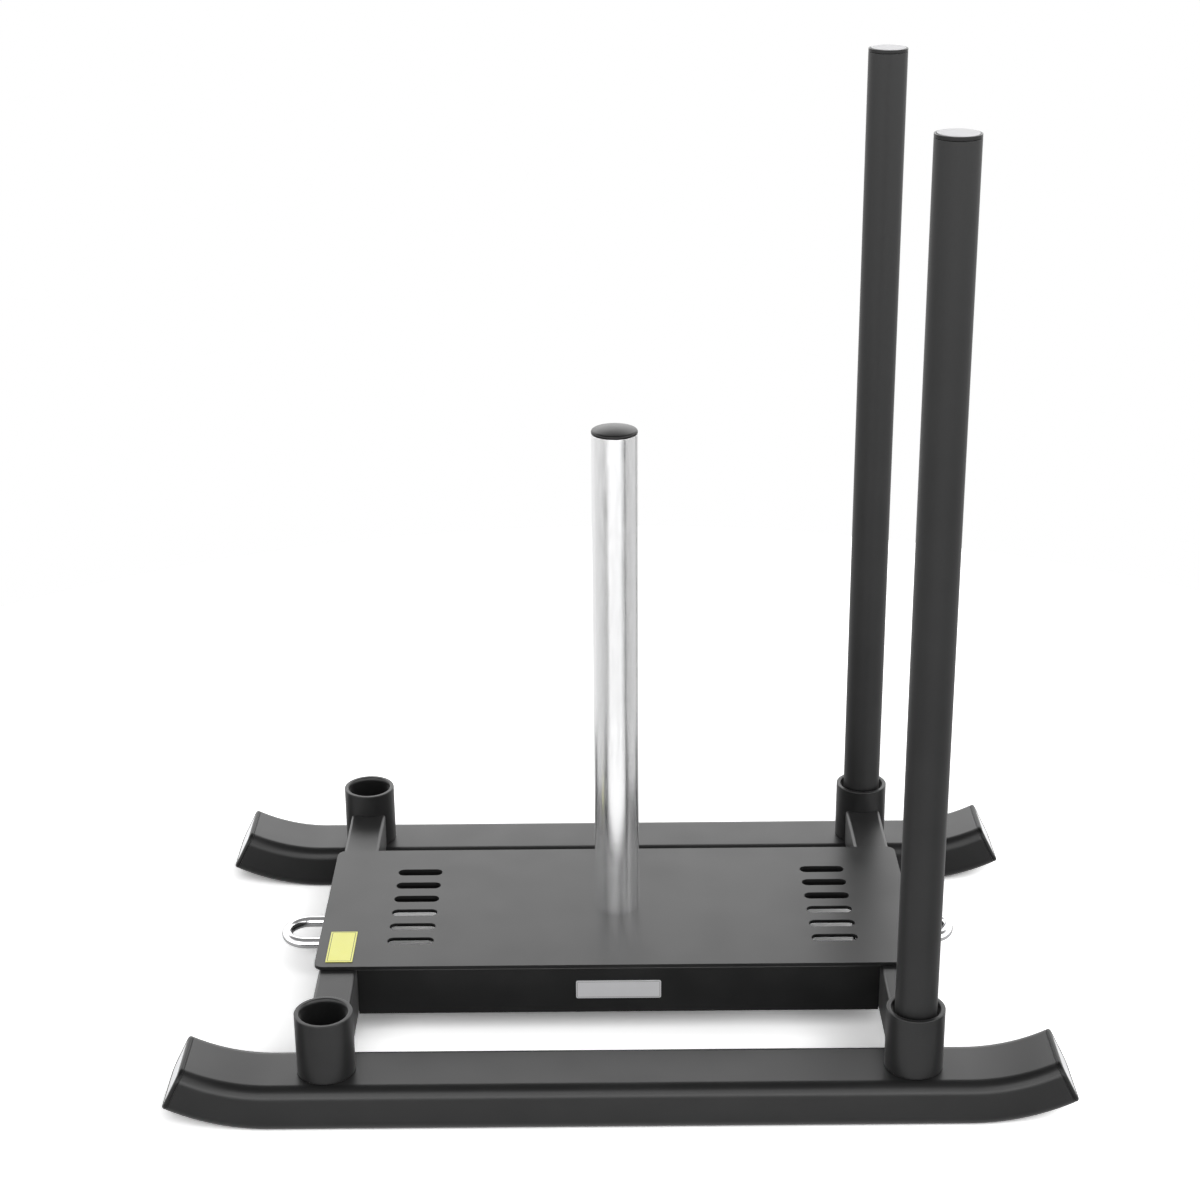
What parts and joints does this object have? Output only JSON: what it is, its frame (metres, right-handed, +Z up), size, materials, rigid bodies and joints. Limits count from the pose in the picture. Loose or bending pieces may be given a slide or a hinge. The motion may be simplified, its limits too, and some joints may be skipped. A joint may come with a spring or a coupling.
{
  "type": "weight sled",
  "caption": "Low weight sled on upturned box tube runners, with a deck, a plate post, tow loops and lift-out push poles.",
  "frame": {"origin": "on the floor, at the middle of the sled's length and width", "axes": "+X to the rear, where the push poles stand; +Y to the pusher's right; +Z up"},
  "size_m": [0.9206, 0.589, 0.9873],
  "materials": {
    "black_powder_coat": "satin black powder coat over steel",
    "chrome": "polished chrome plate",
    "black_plastic": "satin moulded plastic",
    "bright_inlay": "satin silver film",
    "pale_disc": "satin pale grey",
    "zinc_steel": "zinc plated",
    "yellow_film": "printed film",
    "silver_film": "satin silver film"
  },
  "bodies": {
    "sled": {"centre_cross_tube": "black_powder_coat", "deck_plate": "black_powder_coat", "front_cross_tube": "black_powder_coat", "front_left_socket": "black_powder_coat", "front_right_socket": "black_powder_coat", "front_tow_loop": "chrome", "front_tow_loop_left_nut": "zinc_steel", "front_tow_loop_left_washer": "zinc_steel", "front_tow_loop_right_nut": "zinc_steel", "front_tow_loop_right_washer": "zinc_steel", "label_plate": "silver_film", "left_runner": "black_powder_coat", "left_runner_front_plug": "black_plastic", "left_runner_front_plug_inlay": "bright_inlay", "left_runner_rear_plug": "black_plastic", "left_runner_rear_plug_inlay": "bright_inlay", "left_side_beam": "black_powder_coat", "rear_cross_tube": "black_powder_coat", "rear_left_socket": "black_powder_coat", "rear_right_socket": "black_powder_coat", "rear_tow_loop": "chrome", "rear_tow_loop_left_nut": "zinc_steel", "rear_tow_loop_left_washer": "zinc_steel", "rear_tow_loop_right_nut": "zinc_steel", "rear_tow_loop_right_washer": "zinc_steel", "right_runner": "black_powder_coat", "right_runner_front_plug": "black_plastic", "right_runner_front_plug_inlay": "bright_inlay", "right_runner_rear_plug": "black_plastic", "right_runner_rear_plug_inlay": "bright_inlay", "right_side_beam": "black_powder_coat", "weight_post": "chrome", "weight_post_bolt": "zinc_steel", "weight_post_cap": "black_plastic", "weight_post_insert": "zinc_steel", "weight_post_washer": "zinc_steel", "weight_sticker": "yellow_film"},
    "left_pole": {"left_push_pole": "black_powder_coat", "left_push_pole_cap": "black_plastic", "left_push_pole_disc": "pale_disc", "left_push_pole_foot": "black_plastic"},
    "right_pole": {"right_push_pole": "black_powder_coat", "right_push_pole_cap": "black_plastic", "right_push_pole_disc": "pale_disc", "right_push_pole_foot": "black_plastic"}
  },
  "joints": [
    {"name": "left_pole_lift", "type": "slide", "parent": "sled", "child": "left_pole", "axis": [0, 0, 1], "range_m": [0, 0.09]},
    {"name": "right_pole_lift", "type": "slide", "parent": "sled", "child": "right_pole", "axis": [0, 0, 1], "range_m": [0, 0.09]}
  ]
}
